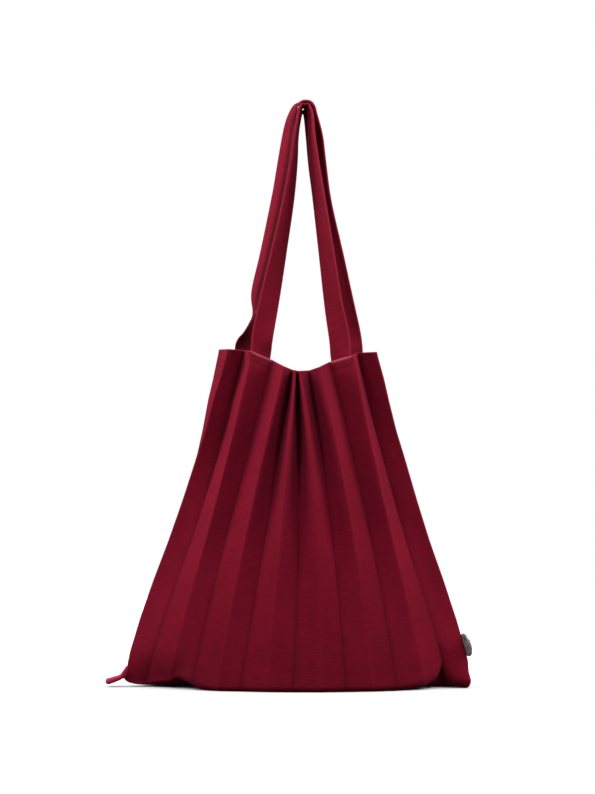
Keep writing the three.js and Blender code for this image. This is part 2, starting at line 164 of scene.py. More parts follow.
MM = 0.001
FACET = 25 * MM  # knitted width of one pleat facet, the same from rim to base
WALL = 2 * MM
LEAST_PLEAT = 3 * MM  # depth that a pulled-flat pleat keeps
EASE_FROM = 0.05  # level where the pleats begin to ease
# How much each facet has eased by the base. Columns: facet from the left, share of its rise.
EASE = np.array([
    (1, 0.72), (4, 0.85), (7, 0.8), (9, 0.92), (11, 0.97), (12, 0.85), (13, 0.7), (14, 0.45),
])
BASE_Z = -578.5 * MM
RIM_SIDE_Z = -244 * MM
RIM_SAG = 20.5 * MM
RIM_SAG_POWER = 1.6  # more than 1 draws the sag together in the middle
RIM_TILT = 1.4 * MM  # how far the left corner is higher, and the right one lower
BACK_HEM_ROUND = 9 * MM
RIM_ROW_Z, WAIST_ROW_Z, FOOT_ROW_Z = -267 * MM, -411 * MM, -554 * MM
SIDE_DEPTH = (22 * MM, 4 * MM)  # front to back at the side seams, at the rim and the foot
FRONT_BOW = (14 * MM, 43 * MM)  # how far the panels stand out, at the rim and the foot
BACK_BOW = (20 * MM, 43 * MM)
FRONT_BOW_POWER = 2
BACK_BOW_POWER = 3

# Front folds from left to right, ridge and valley in turn. Columns: place across at the
# three rows of heights, lift of the hem off the table, and radius of the hem's turn.
FRONT_FOLDS = MM * np.array([
    (-82.5, -127.5, -176, 2, 4),
    (-64.5, -105, -153.5, 2, 4),
    (-56.5, -92, -130.5, 6, 4),
    (-35, -72.5, -107.5, 3.5, 8),
    (-21.5, -54, -82.5, 0, 5),
    (-12, -35.5, -59.5, 0, 5),
    (-9, -21, -35, 0, 5),
    (-6.5, -5.5, -10, 0, 5),
    (-4, 12, 16, 0, 5),
    (5.5, 25.5, 39.5, 0, 5),
    (16.5, 45.5, 66, 0, 5),
    (28.5, 62, 88, 0, 5),
    (52.5, 83, 116, 2, 8),
    (57.5, 95.5, 138, 19, 10),
    (77.5, 119, 163, 0, 7),
])
# Back folds from left to right at the rim, valley first. They run straight down to even
# places along the foot.
BACK_RIM_X = MM * np.array([-89.5, -74, -51, -40, -28, -16, -4, 8, 19, 30, 41, 64, 73])
BACK_EAR_LIFT = 5 * MM
BACK_EAR_POWER = 6

# How far the cloth at the two sides sways off those lines. Columns: height, sway to the
# right at the left side, sway to the right at the right side.
SIDE_SWAY = MM * np.array([
    (-562, 2.5, -1),
    (-552, 0.5, 1.5),
    (-542, -1, 1.5),
    (-512, -2.5, 2),
    (-472, -2, 1),
    (-432, 0, -1),
    (-392, 1, -1.5),
    (-352, 1.5, -1.5),
    (-322, 1.5, -2),
    (-292, 0, -1),
    (-272, 0.5, 0),
    (-250, 0, 0),
])
SWAY_REACH = 3  # folds from the side over which the sway dies away

# What the handles' feet do to the rim: the folds beside them are drawn out and up.
# Columns: fold, and its move across, back and up at the rim.
RIM_PULLS = np.array([(2, -2, 0, 0.8), (12, -0.5, 0, -2.2)])
RIM_PULL_DEPTH = 9.5 * MM  # below the rim, where the pull ends in a crease

# At the foot the left corner leans back, and the right one stands forward of the fold
# beside it. Columns: fold, its move across and back, and the level where that begins.
BASE_PULLS = np.array([
    (0, 0, 3, 0.9),
    (1, 0, 9.5, 0.88),
    (2, 0, 8, 0.9),
    (13, 0, 3, 0.8),
    (14, -2, -10, 0.8),
])

# Above that the left side bellies back, and the right side's last valley is deep. Columns:
# fold, its move back, the level of its middle, and its reach in levels.
WAIST_PULLS = np.array([(0, 5, 0.8, 0.12), (13, 5, 0.55, 0.22), (14, -3, 0.55, 0.22)])

FRONT_COUNT = len(FRONT_FOLDS)
FOLD_COUNT = FRONT_COUNT + len(BACK_RIM_X)
is_ridge = np.arange(FOLD_COUNT) % 2 == 0


def rim_height(x):
    """The rim hangs lower towards its middle by RIM_SAG, as a power of half a cosine wave
    across, and tilts evenly from left to right."""
    left, right = FRONT_FOLDS[0, 0], FRONT_FOLDS[-1, 0]
    share = np.clip((2 * x - left - right) / (right - left), -1, 1)
    sag = RIM_SAG * ((1 + np.cos(np.pi * share)) / 2) ** RIM_SAG_POWER
    return RIM_SIDE_Z - sag - RIM_TILT * share


def front_across(z):
    """A parabola through the place of each fold at the three rows of heights."""
    rim, waist, foot = FRONT_FOLDS.T[:3]
    u = (z - RIM_ROW_Z) / (FOOT_ROW_Z - RIM_ROW_Z)
    w = (WAIST_ROW_Z - RIM_ROW_Z) / (FOOT_ROW_Z - RIM_ROW_Z)
    return (
        rim * (u - w) * (u - 1) / w
        + waist * u * (u - 1) / (w * (w - 1))
        + foot * u * (u - w) / (1 - w)
    )


def back_across(z):
    """Straight lines from the rim places to even places at the foot; the ends are the sides."""
    even = np.linspace(FRONT_FOLDS[0, 2], FRONT_FOLDS[-1, 2], FRONT_COUNT)
    u = (z - RIM_ROW_Z) / (FOOT_ROW_Z - RIM_ROW_Z)
    across = front_across(z)
    across[:, 1:-1] = BACK_RIM_X + (even[1:-1] - BACK_RIM_X) * u[:, 1:-1]
    return across


def panel_folds(level, across, rim_x, hem_up, bow, bow_power, facing):
    """Fold points of one panel at levels from 0, the rim, to 1, where the hem begins to turn.

    Down: straight from the rim's height to the hem's. Across: the panel's own lines and the
    sides' sway. Front to back: each facet rises or falls by what is left of its knitted
    width, rise^2 = facet^2 - spacing^2, less the ease. These steps add up to a zigzag, which
    is freed of its drift, its mean and its arch, and laid on the bowed middle surface.
    """
    level = level[:, None]
    rim_z = rim_height(rim_x)
    z = rim_z + (BASE_Z + WALL / 2 + hem_up - rim_z) * level
    x = across(z)
    from_left = np.arange(FRONT_COUNT)
    heights, left_sway, right_sway = SIDE_SWAY.T
    x = x + np.interp(z, heights, left_sway) * np.clip(1 - from_left / SWAY_REACH, 0, 1)
    x = x + np.interp(z, heights, right_sway) * np.clip(1 - from_left[::-1] / SWAY_REACH, 0, 1)
    rise = np.sqrt(np.maximum(FACET**2 - np.diff(x) ** 2, LEAST_PLEAT**2))
    eased = np.clip((level - EASE_FROM) / (1 - EASE_FROM), 0, 1)
    rise = rise * (1 - np.interp(from_left[1:], *EASE.T) * eased**2 * (3 - 2 * eased))
    outwards = np.where(from_left[1:] % 2 == 0, 1, -1)
    zigzag = np.pad(np.cumsum(outwards * rise, axis=1), ((0, 0), (1, 0)))
    half = (x[:, -1:] - x[:, :1]) / 2
    share = (x - x[:, :1]) / half - 1
    zigzag = zigzag - zigzag[:, -1:] * (share + 1) / 2
    zigzag = zigzag - zigzag.mean(axis=1, keepdims=True)
    arch = 1 - share**2
    arch = arch - arch.mean(axis=1, keepdims=True)
    arched = np.sum(zigzag * arch, axis=1, keepdims=True) / np.sum(arch**2, axis=1, keepdims=True)
    zigzag = zigzag - arched * arch
    side = SIDE_DEPTH[0] + (SIDE_DEPTH[1] - SIDE_DEPTH[0]) * level
    stand = bow[0] + (bow[1] - bow[0]) * (1 - (1 - level) ** 2)
    middle = side / 2 + stand * (1 - np.clip(np.abs(share), 0, 1) ** bow_power)
    return np.stack([x, facing * (middle + zigzag), z], axis=-1)


def fold_ring(level):
    """All folds at each level, front from left to right, then back from right to left."""
    rim_x, _, _, lift, hem_round = FRONT_FOLDS.T
    front = panel_folds(
        level, front_across, rim_x, lift + hem_round, FRONT_BOW, FRONT_BOW_POWER, -1
    )
    share = np.linspace(-1, 1, FRONT_COUNT)
    back_up = BACK_HEM_ROUND + BACK_EAR_LIFT * share**BACK_EAR_POWER
    back_rim_x = np.concatenate([rim_x[:1], BACK_RIM_X, rim_x[-1:]])
    back = panel_folds(level, back_across, back_rim_x, back_up, BACK_BOW, BACK_BOW_POWER, 1)
    ring = np.concatenate([front, back[:, -2:0:-1]], axis=1)
    pulled = RIM_PULLS[:, 0].astype(int)
    below_rim = (ring[:1, :, 2] - ring[:, :, 2])[:, pulled]
    fade = np.clip(1 - below_rim / RIM_PULL_DEPTH, 0, 1)
    ring[:, pulled] += fade[..., None] * RIM_PULLS[:, 1:] * MM
    fold, back, middle, reach = WAIST_PULLS.T
    ring[:, fold.astype(int), 1] += back * MM * np.exp(-(((level[:, None] - middle) / reach) ** 2))
    begins = BASE_PULLS[:, 3]
    low = np.clip((level[:, None] - begins) / (1 - begins), 0, 1)[..., None]
    ring[:, BASE_PULLS[:, 0].astype(int), :2] += low**2 * BASE_PULLS[:, 1:3] * MM
    return ring


FLAT_PLACES = np.array([0.12, 0.5, 0.86, 0.97])  # along half a facet, from middle to bend
FLAT_STEPS = len(FLAT_PLACES)
BEND_STEPS = 5  # points round a fold
FOLD_SOFT = 0.6 * MM  # how far from the fold its curve begins
FOLD_SOFT_MOST = 0.4  # as a share of a facet


def across_pleats(ring):
    """Cloth between the folds, as a grid of points with the knitted place across of each.

    A fold owns the cloth from the middle of one facet to the middle of the next. It is
    straight up to a short way from the fold F, from A on one side to B on the other, and
    between them it is the curve (1-w)^2 A + 2w(1-w) F + w^2 B.
    """
    before, after = np.roll(ring, 1, axis=1), np.roll(ring, -1, axis=1)
    to_fold = np.linalg.norm(ring - before, axis=-1)[..., None]
    from_fold = np.linalg.norm(after - ring, axis=-1)[..., None]
    near = np.clip(FOLD_SOFT / to_fold, 0, FOLD_SOFT_MOST)
    far = np.clip(FOLD_SOFT / from_fold, 0, FOLD_SOFT_MOST)
    w = (np.arange(BEND_STEPS) + 0.5) / BEND_STEPS
    none = np.zeros(near.shape[:-1] + (FLAT_STEPS,))
    flat_before = 0.5 - (0.5 - near) * FLAT_PLACES
    flat_after = far + (0.5 - far) * (1 - FLAT_PLACES[::-1])
    to_before = np.concatenate([flat_before, near * (1 - w) ** 2, none], axis=-1)
    to_after = np.concatenate([none, far * w**2, flat_after], axis=-1)
    points = (
        ring[:, :, None] * (1 - to_before - to_after)[..., None]
        + before[:, :, None] * to_before[..., None]
        + after[:, :, None] * to_after[..., None]
    )
    knitted = (np.arange(FOLD_COUNT)[:, None] + to_after - to_before) * FACET
    beside = (to_before + to_after) * FACET
    rows = len(ring)
    return points.reshape(rows, -1, 3), knitted.reshape(rows, -1), beside.reshape(rows, -1)


FOLD_POINTS = 2 * FLAT_STEPS + BEND_STEPS
COLUMNS = FOLD_COUNT * FOLD_POINTS
RIM_ROWS = 16  # close rows under the rim, one to a course or so
RIM_ROW_STEP = 0.0035  # as a share of the height
SIDE_ROWS = 76
HEM_STEPS = 7
BASE_STEPS = 6
HEM_FLAT = 0.8  # how far in a hem's turn reaches, against how far down
BASE_LEFT_POWER = 2  # the middle line lies on the table and rises only towards the left
BASE_SHRINK = 0.95  # length of the base's middle line against the hem's

rim_levels = np.arange(RIM_ROWS) * RIM_ROW_STEP
levels = np.concatenate([rim_levels, np.linspace(rim_levels[-1], 1, SIDE_ROWS + 1)[1:]])
cloth, knit_across, beside_fold = across_pleats(fold_ring(levels))

# Inside the facets beside the two corners, the hem leaves the straight line from fold to
# fold. Columns: place in facets, and the rise of the hem there in mm.
HEM_BUMPS = np.array([
    (-0.3, 0), (-0.12, 1.2), (0, 3.5), (0.12, 1.2), (0.3, 0),
    (2, 0), (2.2, 4.5), (2.55, 4), (3, 0), (3.25, -2), (4, 0),
    (12, 0), (12.75, -7), (13, 0), (13.2, -5), (13.4, -9), (14, 0),
])
HEM_BUMP_FROM = 0.88  # level where they begin
hem_bump = np.interp(knit_across[0] / FACET, *HEM_BUMPS.T, left=0, right=0) * MM
near_hem = np.clip((levels - HEM_BUMP_FROM) / (1 - HEM_BUMP_FROM), 0, 1)[:, None]
cloth[..., 2] += hem_bump * near_hem**2

# The base: each point of the hem is carried round a quarter turn of the hem's own radius,
# then in to the middle line, where the point of the other panel that faces it arrives too.
fold_index, point_index = np.divmod(np.arange(COLUMNS), FOLD_POINTS)
facing_column = (-fold_index % FOLD_COUNT) * FOLD_POINTS + FOLD_POINTS - 1 - point_index
hem = cloth[-1]
fold_round = np.pad(FRONT_FOLDS[:, 4], (0, len(BACK_RIM_X)), constant_values=BACK_HEM_ROUND)
hem_round = np.interp(
    knit_across[-1] / FACET, np.arange(FOLD_COUNT), fold_round, period=FOLD_COUNT
)
hem_floor = hem - hem_round[:, None] * (0, 0, 1)
middle_line = (hem_floor + hem_floor[facing_column]) / 2 * (BASE_SHRINK, 0, 1)
to_left = np.clip(middle_line[:, 0] / middle_line[:, 0].min(), 0, 1) ** BASE_LEFT_POWER
middle_line[:, 2] = BASE_Z + WALL / 2 + (middle_line[:, 2] - BASE_Z - WALL / 2) * to_left
to_middle = middle_line - hem_floor
way = np.linalg.norm(to_middle[:, :2], axis=1)
hem_in = np.minimum(hem_round / way, 1) * HEM_FLAT
hem_turn = np.radians(np.linspace(0, 90, HEM_STEPS + 1)[1:, None])
base_share = np.linspace(0, 1, BASE_STEPS + 1)[1:, None]
inward = np.concatenate([hem_in * (1 - np.cos(hem_turn)), hem_in + (1 - hem_in) * base_share])
down = np.concatenate([hem_round * np.sin(hem_turn), hem_round - to_middle[:, 2] * base_share])
base = hem + to_middle * (1, 1, 0) * inward[..., None] - down[..., None] * (0, 0, 1)
cloth = np.concatenate([cloth, base])
base_rows = len(base)
knit_across = np.concatenate([knit_across, np.repeat(knit_across[-1:], base_rows, axis=0)])
beside_fold = np.concatenate([beside_fold, np.repeat(beside_fold[-1:], base_rows, axis=0)])
knit_down = np.concatenate([
    np.zeros((1, COLUMNS)),
    np.cumsum(np.linalg.norm(np.diff(cloth, axis=0), axis=-1), axis=0),
])


def unit(vectors):
    """Vectors of length 1."""
    return vectors / np.linalg.norm(vectors, axis=-1, keepdims=True)


def outward_normals(points):
    """Unit normals of a ring-shaped grid: its steps down crossed with its steps round.
    The last row, where the base is shut, takes those of the row before it."""
    round_step = np.roll(points, -1, axis=1) - np.roll(points, 1, axis=1)
    normals = np.cross(np.gradient(points, axis=0), round_step)
    normals[-1] = normals[-2] + normals[-2][facing_column]
    return unit(normals)


# Under the rim, the sewn foot of each handle draws a shallow crease across its facet.
# Slow soft waves keep the facets from being dead flat.
CREASE_DOWN = 8.5 * MM
CREASE_HALF_WIDTH = 1.1 * MM
CREASE_DEPTH = 0.6 * MM
CREASE_END_POWER = 8  # how late it dies away towards the facet's folds
STRAP_FACETS = (2, 11, 16, 25)  # the fold before each facet that carries a foot
WAVE_HEIGHT = 0.45 * MM
WAVE_LENGTH = 95 * MM
WAVE_SEED = 5

facet_place = knit_across / FACET
on_strap_facet = sum(
    np.clip(1 - (2 * np.abs(facet_place - fold - 0.5)) ** CREASE_END_POWER, 0, 1)
    for fold in STRAP_FACETS
)
crease = np.exp(-(((knit_down - CREASE_DOWN) / CREASE_HALF_WIDTH) ** 2)) * on_strap_facet
facet_number = np.floor(facet_place).astype(int) % FOLD_COUNT
phases = np.random.default_rng(WAVE_SEED).uniform(0, 2 * np.pi, FOLD_COUNT)
across_facet = np.sin(np.pi * (facet_place % 1))
wave = across_facet * np.sin(2 * np.pi * knit_down / WAVE_LENGTH + phases[facet_number])
settle = np.linspace(1, 0, len(cloth))[:, None]
off_flat = WAVE_HEIGHT * wave * settle - CREASE_DEPTH * crease
cloth = cloth + outward_normals(cloth) * off_flat[..., None]

# The two faces of the wall. Inside a tight bend a face keeps to less than the bend's own
# radius, so that it does not cross itself.
RIM_BEAD = 0.25  # extra thickness of the cast-off edge
RIM_BEAD_DOWN = 2.2 * MM
BEND_SHARE = 0.7
LEAST_STEP = 0.01 * MM

normals = outward_normals(cloth)
next_point, last_point = np.roll(cloth, -1, axis=1), np.roll(cloth, 1, axis=1)
step_squared = np.sum((next_point - last_point) ** 2, axis=-1) / 4
curl = np.sum((next_point + last_point - 2 * cloth) * normals, axis=-1)
curl /= np.maximum(step_squared, LEAST_STEP**2)
half_wall = WALL / 2 * (1 + RIM_BEAD * np.exp(-((knit_down / RIM_BEAD_DOWN) ** 2)))
outer_step = np.minimum(half_wall, BEND_SHARE / np.maximum(curl, 1))[..., None]
inner_step = np.minimum(half_wall, BEND_SHARE / np.maximum(-curl, 1))[..., None]
outer_face = cloth + normals * outer_step
inner_face = cloth - normals * inner_step

RIM_TURNS = np.radians([150, 120, 90, 60, 30])  # round the edge, from inside to outside
up = unit(cloth[0] - cloth[1])
rim_edge = (
    cloth[0]
    + normals[0] * half_wall[0][:, None] * np.cos(RIM_TURNS)[:, None, None]
    + up * half_wall[0][:, None] * np.sin(RIM_TURNS)[:, None, None]
)
INNER_STRIDE = 2  # the inside needs fewer rows
inner_rows = np.unique(np.append(np.arange(0, len(cloth), INNER_STRIDE), len(cloth) - 1))[::-1]
edge_rows = np.zeros(len(RIM_TURNS), int)
source_row = np.concatenate([inner_rows, edge_rows, np.arange(len(cloth))])
body_points = np.concatenate([inner_face[inner_rows], rim_edge, outer_face])


def surface_piece(name, points, uv, weld=None, **marks):
    """A mesh over a grid of points, rows by columns, its columns closed into a ring.

    uv has one more column than points, for the far side of the closing quads. weld gives
    each point the number of the point it is one with: quads that lose one end to it are
    triangles, and those that lose both are left out. marks are values at the points, kept
    as attributes for the material.
    """
    count = points.shape[0] * points.shape[1]
    number = np.arange(count).reshape(points.shape[:2]) if weld is None else weld
    right = np.roll(number, -1, axis=1)
    quads = np.stack([number[:-1], number[1:], right[1:], right[:-1]], axis=-1).reshape(-1, 4)
    corner_uv = np.stack([uv[:-1, :-1], uv[1:, :-1], uv[1:, 1:], uv[:-1, 1:]], axis=2)
    corner_uv = corner_uv.reshape(-1, 4, 2)
    top_shut, bottom_shut = quads[:, 0] == quads[:, 3], quads[:, 1] == quads[:, 2]
    corners = [
        (~top_shut & ~bottom_shut, [0, 1, 2, 3]),
        (top_shut & ~bottom_shut, [0, 1, 2]),
        (bottom_shut & ~top_shut, [0, 1, 3]),
    ]
    faces = [quads[pick][:, order] for pick, order in corners]
    flat_uv = np.concatenate([corner_uv[pick][:, order].reshape(-1, 2) for pick, order in corners])
    kept, compact = np.unique(np.concatenate([f.ravel() for f in faces]), return_inverse=True)
    ends = np.cumsum([f.size for f in faces])[:-1]
    lists = [part.reshape(f.shape).tolist() for part, f in zip(np.split(compact, ends), faces)]
    mesh = bpy.data.meshes.new(name)
    mesh.from_pydata(points.reshape(-1, 3)[kept], [], sum(lists, []))
    mesh.uv_layers.new(name="cloth").data.foreach_set("uv", flat_uv.astype(np.float32).ravel())
    mesh.polygons.foreach_set("use_smooth", np.ones(len(mesh.polygons), bool))
    for mark, values in marks.items():
        layer = mesh.attributes.new(mark, "FLOAT", "POINT")
        layer.data.foreach_set("value", values.reshape(-1)[kept].astype(np.float32))
    mesh.validate()
    piece = bpy.data.objects.new(name, mesh)
    bpy.context.collection.objects.link(piece)
    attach(piece, "root")
    return piece


body_weld = np.arange(body_points.shape[0] * COLUMNS).reshape(-1, COLUMNS)
first_of_pair = np.minimum(np.arange(COLUMNS), facing_column)
body_weld[0] = body_weld[0][first_of_pair]
body_weld[-1] = body_weld[-1][first_of_pair]
knit_u = knit_across[source_row]
knit_u = np.concatenate([knit_u, knit_u[:, :1] + FOLD_COUNT * FACET], axis=1)
knit_v = knit_down[source_row]
knit_v = np.concatenate([knit_v, knit_v[:, :1]], axis=1)
FOLD_PAINT_WIDTH = 1.8 * MM  # half width of the painted shade along a valley and of the paler line along a ridge
RIM_HIGHLIGHT_WIDTH = 1.0 * MM  # width of the painted highlight along the rim's edge, over a foot
fold_side = np.repeat(np.where(is_ridge, 1, -1), FOLD_POINTS)
valley_shade_ridge_line = np.exp(-((beside_fold / FOLD_PAINT_WIDTH) ** 2)) * fold_side
# Painted highlight along the rim's edge over each handle's foot.
selvedge = np.exp(-((knit_down / RIM_HIGHLIGHT_WIDTH) ** 2)) * on_strap_facet
pleated_body = surface_piece(
    "pleated_body",
    body_points,
    np.stack([knit_u, knit_v], axis=-1),
    body_weld,
    fold=valley_shade_ridge_line[source_row],
    selvedge=selvedge[source_row],
)
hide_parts("bag_body")


def add_math(tree, operation, first, second=0.0):
    """One arithmetic node, as its output."""
    return add_node(tree, "ShaderNodeMath", {0: first, 1: second}, operation=operation).outputs[0]


def add_noise(tree, place, scale, detail):
    """Noise at a place, as an output between 0 and 1."""
    inputs = {"Vector": place, "Scale": scale, "Detail": detail}
    return add_node(tree, "ShaderNodeTexNoise", inputs).outputs["Fac"]


def stretch(tree, place, rates):
    """A place multiplied by a rate along each axis, as an output."""
    return add_node(
        tree, "ShaderNodeVectorMath", {0: place, 1: rates}, operation="MULTIPLY"
    ).outputs[0]


SIDE_FALL = 2.4  # how a stitch's height falls off towards the wale's sides
FIBRE_RATE = (1800, 900, 1)  # fibres to a metre, across and along
FIBRE_DETAIL = 3
FIBRE_LIFT = 0.5  # against the yarn's own height


def knit_group():
    """Plain knit: wales of V-shaped stitches, as a height and a mask of the gaps between yarns.

    Inside a wale the stitch's phase is place down / course + half the distance from the
    wale's middle, so each course bends into a row of Vs. A sine of it is the yarn's height,
    which falls off towards the wale's sides. Fibre noise breaks the rows up.
    """
    group = bpy.data.node_groups.new("plain_knit", "ShaderNodeTree")
    for taken, kind in (("Place", "Vector"), ("Wale", "Float"), ("Course", "Float")):
        group.interface.new_socket(taken, in_out="INPUT", socket_type="NodeSocket" + kind)
    for made in ("Height", "Gap", "Fibre"):
        group.interface.new_socket(made, in_out="OUTPUT", socket_type="NodeSocketFloat")
    given = add_node(group, "NodeGroupInput").outputs
    place = add_node(group, "ShaderNodeSeparateXYZ", {0: given["Place"]}).outputs
    in_wale = add_math(group, "FRACT", add_math(group, "DIVIDE", place["X"], given["Wale"]))
    aside = add_math(group, "ABSOLUTE", add_math(group, "SUBTRACT", in_wale, 0.5))
    course = add_math(group, "DIVIDE", place["Y"], given["Course"])
    phase = add_math(group, "ADD", course, aside)
    yarn = add_math(group, "SINE", add_math(group, "MULTIPLY", phase, 2 * np.pi))
    yarn = add_math(group, "ADD", add_math(group, "MULTIPLY", yarn, 0.5), 0.5)
    side_fall = add_math(group, "MULTIPLY", add_math(group, "POWER", aside, 2.0), SIDE_FALL)
    height = add_math(group, "MULTIPLY", yarn, add_math(group, "SUBTRACT", 1.0, side_fall))
    fibre = add_noise(group, stretch(group, given["Place"], FIBRE_RATE), 1, FIBRE_DETAIL)
    height = add_math(group, "ADD", height, add_math(group, "MULTIPLY", fibre, FIBRE_LIFT))
    gap = add_math(group, "SUBTRACT", 1.0, yarn)
    add_node(group, "NodeGroupOutput", {"Height": height, "Gap": gap, "Fibre": fibre})
    return group


plain_knit = knit_group()

# What all the bag's knits share. A shade is against the yarn's own colour.
GAP_SHADE = 0.45  # gaps between the yarns
GAP_SHARE = 0.32
FLECK_SHADE = 1.5  # light fibres
FLECK_SPAN = (0.52, 0.8)  # of the fibre noise
FLECK_SHARE = 0.5
SLOW_SCALE = 14  # slow changes of shade
SLOW_SPAN = (0.3, 0.7)
SLOW_SHADES = (0.88, 1.1)
SLUB_RATE = (90, 480, 1)  # uneven yarn along the courses
SLUB_SPAN = (0.25, 0.75)
SLUB_SHADES = (0.83, 1.17)
SHADE_DETAIL = 2
STITCH_BUMP = 0.8
STITCH_LIFT = 0.25 * MM
KNIT_FINISH = {
    "Roughness": 0.88,
    "Specular IOR Level": 0.08,
    "Sheen Weight": 0.04,
    "Sheen Roughness": 0.5,
    "Sheen Tint": (1, 0.3, 0.45, 1),
}


def knit_material(name, colour, wale, course):
    """Wine-red knit: yarn colour with darker gaps, fibre flecks, slow shade and uneven yarn
    along the courses, and the stitches' height as bump. Returns the material with its tree,
    shader and yarn colour."""
    material, tree, shader = new_material(name, KNIT_FINISH)
    place = add_node(tree, "ShaderNodeUVMap", uv_map="cloth").outputs["UV"]
    knit = add_node(
        tree,
        "ShaderNodeGroup",
        {"Place": place, "Wale": wale, "Course": course},
        node_tree=plain_knit,
    ).outputs
    gap_colour = tuple(GAP_SHADE * c for c in colour) + (1,)
    fleck_colour = tuple(FLECK_SHADE * c for c in colour) + (1,)
    gap = add_math(tree, "MULTIPLY", knit["Gap"], GAP_SHARE)
    yarn = add_mix(tree, gap, (*colour, 1), gap_colour)
    fleck = add_range(tree, knit["Fibre"], FLECK_SPAN, (0, FLECK_SHARE))
    yarn = add_mix(tree, fleck, yarn, fleck_colour)
    spot = add_node(tree, "ShaderNodeTexCoord").outputs["Object"]
    slow = add_noise(tree, spot, SLOW_SCALE, SHADE_DETAIL)
    slow = add_range(tree, slow, SLOW_SPAN, SLOW_SHADES)
    yarn = add_mix(tree, 1.0, yarn, slow, blend="MULTIPLY")
    slub = add_noise(tree, stretch(tree, place, SLUB_RATE), 1, SHADE_DETAIL)
    slub = add_range(tree, slub, SLUB_SPAN, SLUB_SHADES)
    yarn = add_mix(tree, 1.0, yarn, slub, blend="MULTIPLY")
    stitches = {"Height": knit["Height"], "Strength": STITCH_BUMP, "Distance": STITCH_LIFT}
    bump = add_node(tree, "ShaderNodeBump", stitches).outputs[0]
    tree.links.new(bump, shader.inputs["Normal"])
    return material, tree, shader, yarn


def add_mark(tree, mark, strength):
    """One of a piece's marks, times its strength in the colour, as an output."""
    value = add_node(tree, "ShaderNodeAttribute", attribute_name=mark).outputs["Fac"]
    return add_math(tree, "MULTIPLY", value, strength)


BODY_RED = (0.19, 0.003, 0.0175)
BODY_WALE = 1.0 * MM
BODY_COURSE = 0.8 * MM
VALLEY_SHADE = 0.52
VALLEY_PAINTED_SHADE = (0.055, 0.0005, 0.0035, 1)
RIDGE_SHADE = 0.3
RIDGE_PALER = (0.25, 0.006, 0.024, 1)
RIM_HIGHLIGHT_SHARE = 0.6
RIM_HIGHLIGHT_PALE = (0.42, 0.1, 0.15, 1)

body_knit, tree, shader, yarn = knit_material(
    "body_knit", BODY_RED, BODY_WALE, BODY_COURSE
)
# Painted shade darkens the cloth along each valley; each ridge is painted a little paler.
valley = add_math(tree, "MAXIMUM", add_mark(tree, "fold", -VALLEY_SHADE), 0.0)
ridge = add_math(tree, "MAXIMUM", add_mark(tree, "fold", RIDGE_SHADE), 0.0)
yarn = add_mix(tree, valley, yarn, VALLEY_PAINTED_SHADE)
yarn = add_mix(tree, ridge, yarn, RIDGE_PALER)
# Painted highlight: a pale line along the rim's edge over each handle's foot.
yarn = add_mix(tree, add_mark(tree, "selvedge", RIM_HIGHLIGHT_SHARE), yarn, RIM_HIGHLIGHT_PALE)
tree.links.new(yarn, shader.inputs["Base Color"])
pleated_body.data.materials.append(body_knit)


# Handles. Two flat straps of double knit, one sewn inside each panel's rim. Each turns a
# quarter round on its way up, and both lie over the point that carries the bag.

STRAP_WIDTH = 21.5 * MM
STRAP_THICK = 2.6 * MM
STRAP_STEPS = 8  # sections between two rows of a table

# Middle line of each strap above the rim, from left to right. Columns: x, y, z in mm, and
# turn of the width in degrees: 0 is flat to the bag on the left, a quarter turn is over the
# top, and the two straps turn opposite ways.
FRONT_STRAP = np.array([
    (-41.7, -17.5, -232, -10),
    (-35.2, -14, -197, -24),
    (-25, -9.5, -144, -46),
    (-15.2, -7, -90, -62),
    (-10.4, -5, -54, -72),
    (-8, -4, -27, -80),
    (-5.3, -2.4, -10, -82),
    (-4.1, -1.8, -4, -81),
    (-3.2, -1.4, -1.3, -81),
    (-1.9, -0.8, 1, -86),
    (0.2, -0.4, 1.9, -95),
    (1.9, -0.4, 0.9, -107),
    (2.5, -0.7, -1.5, -114),
    (3.6, -1.1, -4, -113),
    (4.9, -2, -10, -113),
    (6.4, -5, -27, -112),
    (9.4, -8, -54, -117),
    (14.6, -11, -90, -122),
    (21.9, -14, -143, -133),
    (29.2, -16, -197, -146),
    (35.2, -17.5, -232, -163),
])
BACK_STRAP = np.array([
    (-59.1, 16.6, -241, -8),
    (-58, 17.5, -236, 14),
    (-55, 18.2, -229, 36),
    (-52.8, 18.4, -219, 60),
    (-51.2, 18.2, -208, 84),
    (-50.2, 17.5, -197, 108),
    (-48.9, 16, -184, 120),
    (-39.6, 12.5, -146, 125),
    (-27.3, 9.5, -90, 129),
    (-20.7, 8, -54, 127),
    (-16.1, 7, -27, 121),
    (-12.2, 4.2, -8, 111),
    (-7.7, 2.4, 1.8, 106),
    (-3.8, 1.2, 4.6, 99),
    (0.3, 0.6, 5.9, 92),
    (4.7, 0.6, 5.3, 97),
    (7.5, 1.2, 2.2, 101),
    (9.7, 4, -8, 109),
    (12, 10, -27, 128),
    (14.2, 13, -54, 138),
    (18.6, 17, -90, 143),
    (30.8, 22, -146, 148),
    (41.2, 24, -197, 159),
    (47.2, 23, -228, 178),
    (48.8, 20, -240, 190),
])
BACK_CUP = (2 * MM, 0)  # bend of the edges on the left and on the right
BACK_SHADE_BAND = 8 * MM  # width of a band of painted shade along one edge, as dark as on the reverse
SHADE_BAND_BLEND = 2 * MM
FOOT_LENGTH = 13 * MM  # how far the strap goes down inside the rim
FOOT_GAP = 0.6 * MM  # between the strap and the body's wall
# Off the middle of each facet in STRAP_FACETS, away from its ridge.
FOOT_ASIDE = dict(zip(STRAP_FACETS, (1.2 * MM, 1.2 * MM, 0.6 * MM, -0.3 * MM)))


